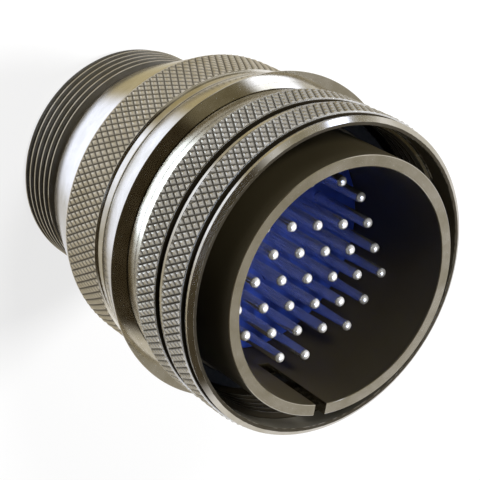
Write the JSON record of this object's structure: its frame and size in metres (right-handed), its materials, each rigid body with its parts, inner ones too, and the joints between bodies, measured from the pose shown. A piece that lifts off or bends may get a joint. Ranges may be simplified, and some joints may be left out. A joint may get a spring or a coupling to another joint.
{
  "type": "circular connector cable plug",
  "caption": "Circular cable plug: keyed barrel round a field of pin contacts, knurled coupling nut that spins, and a knurled end bell with a rear accessory thread.",
  "frame": {"origin": "centre of the end bell's flat rear end, on the plug's axis", "axes": "+Z along the axis towards the mating end; the barrel's keyway is on the -Y side; +X completes a right-handed frame"},
  "size_m": [0.05, 0.05, 0.0581],
  "materials": {
    "plated_shell": "plated aluminium alloy, warm olive-nickel tone, satin",
    "blue_insulator": "moulded thermoset insulator, saturated blue",
    "contact_silver": "silver-plated copper alloy",
    "spring_steel": "spring steel",
    "seal_rubber": "black synthetic rubber"
  },
  "bodies": {
    "plug": {"end_bell": "plated_shell", "plug_shell": "plated_shell", "retaining_ring": "spring_steel", "spring_washer": "spring_steel", "mating_gasket": "seal_rubber", "bell_o_ring": "seal_rubber", "front_insert": "blue_insulator", "rear_insert": "blue_insulator", "follower": "plated_shell", "pin_contact_01": "contact_silver", "pin_contact_02": "contact_silver", "pin_contact_03": "contact_silver", "pin_contact_04": "contact_silver", "pin_contact_05": "contact_silver", "pin_contact_06": "contact_silver", "pin_contact_07": "contact_silver", "pin_contact_08": "contact_silver", "pin_contact_09": "contact_silver", "pin_contact_10": "contact_silver", "pin_contact_11": "contact_silver", "pin_contact_12": "contact_silver", "pin_contact_13": "contact_silver", "pin_contact_14": "contact_silver", "pin_contact_15": "contact_silver", "pin_contact_16": "contact_silver", "pin_contact_17": "contact_silver", "pin_contact_18": "contact_silver", "pin_contact_19": "contact_silver", "pin_contact_20": "contact_silver", "pin_contact_21": "contact_silver", "pin_contact_22": "contact_silver", "pin_contact_23": "contact_silver", "pin_contact_24": "contact_silver", "pin_contact_25": "contact_silver", "pin_contact_26": "contact_silver", "pin_contact_27": "contact_silver", "pin_contact_28": "contact_silver", "pin_contact_29": "contact_silver", "pin_contact_30": "contact_silver", "pin_contact_31": "contact_silver", "pin_contact_32": "contact_silver", "pin_contact_33": "contact_silver", "pin_contact_34": "contact_silver", "pin_contact_35": "contact_silver"},
    "nut": {"coupling_nut": "plated_shell"}
  },
  "joints": [
    {"name": "nut_spin", "type": "hinge", "parent": "plug", "child": "nut", "pos_m": [0, 0, 0.039], "axis": [0, 0, 1], "continuous": true}
  ]
}
